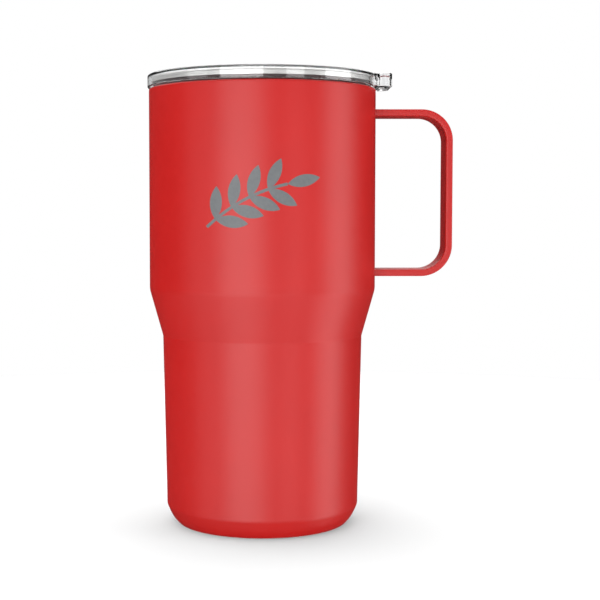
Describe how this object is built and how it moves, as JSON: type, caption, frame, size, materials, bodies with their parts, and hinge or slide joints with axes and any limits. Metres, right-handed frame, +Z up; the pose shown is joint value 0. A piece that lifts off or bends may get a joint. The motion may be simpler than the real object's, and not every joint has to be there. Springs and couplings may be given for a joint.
{
  "type": "insulated travel mug",
  "caption": "Tall double-walled steel travel mug with a slim lower half, a squared strap handle and a clear press-in lid with a thumb tab and a sliding drinking closure.",
  "frame": {"origin": "middle of the foot ring, on the plane that the mug stands on", "axes": "+Z up the mug's axis, +X towards the handle and the lid's thumb tab, -Y towards the etched mark"},
  "size_m": [0.1178, 0.089, 0.1747],
  "materials": {
    "red_powder_coat": "satin powder coat",
    "bare_steel": "brushed, polished at the lip",
    "getter_steel": "dull, sealed inside the vacuum",
    "glass_bead": "dark solder glass",
    "clear_plastic": "clear, polished",
    "smoke_plastic": "smoke, polished",
    "clear_silicone": "translucent, matte",
    "magnet_nickel": "nickel plate"
  },
  "bodies": {
    "mug": {"outer_shell": "red_powder_coat", "inner_vessel": "bare_steel", "base_cup": "red_powder_coat", "base_cover": "bare_steel", "handle": "red_powder_coat", "getter": "getter_steel", "port_seal": "glass_bead"},
    "lid": {"lid_body": "clear_plastic", "lid_gasket": "clear_silicone", "lid_magnet_closed": "magnet_nickel", "lid_magnet_open": "magnet_nickel", "magnet_cap_closed": "clear_plastic", "magnet_cap_open": "clear_plastic"},
    "slider": {"slider_base": "smoke_plastic", "slider_shell": "smoke_plastic", "slider_seal": "clear_silicone", "slider_magnet": "magnet_nickel"}
  },
  "joints": [
    {"name": "lid_lift", "type": "slide", "parent": "mug", "child": "lid", "axis": [0, 0, 1], "range_m": [0, 0.06]},
    {"name": "slider_slide", "type": "slide", "parent": "lid", "child": "slider", "axis": [1, 0, 0], "range_m": [0, 0.014]}
  ]
}
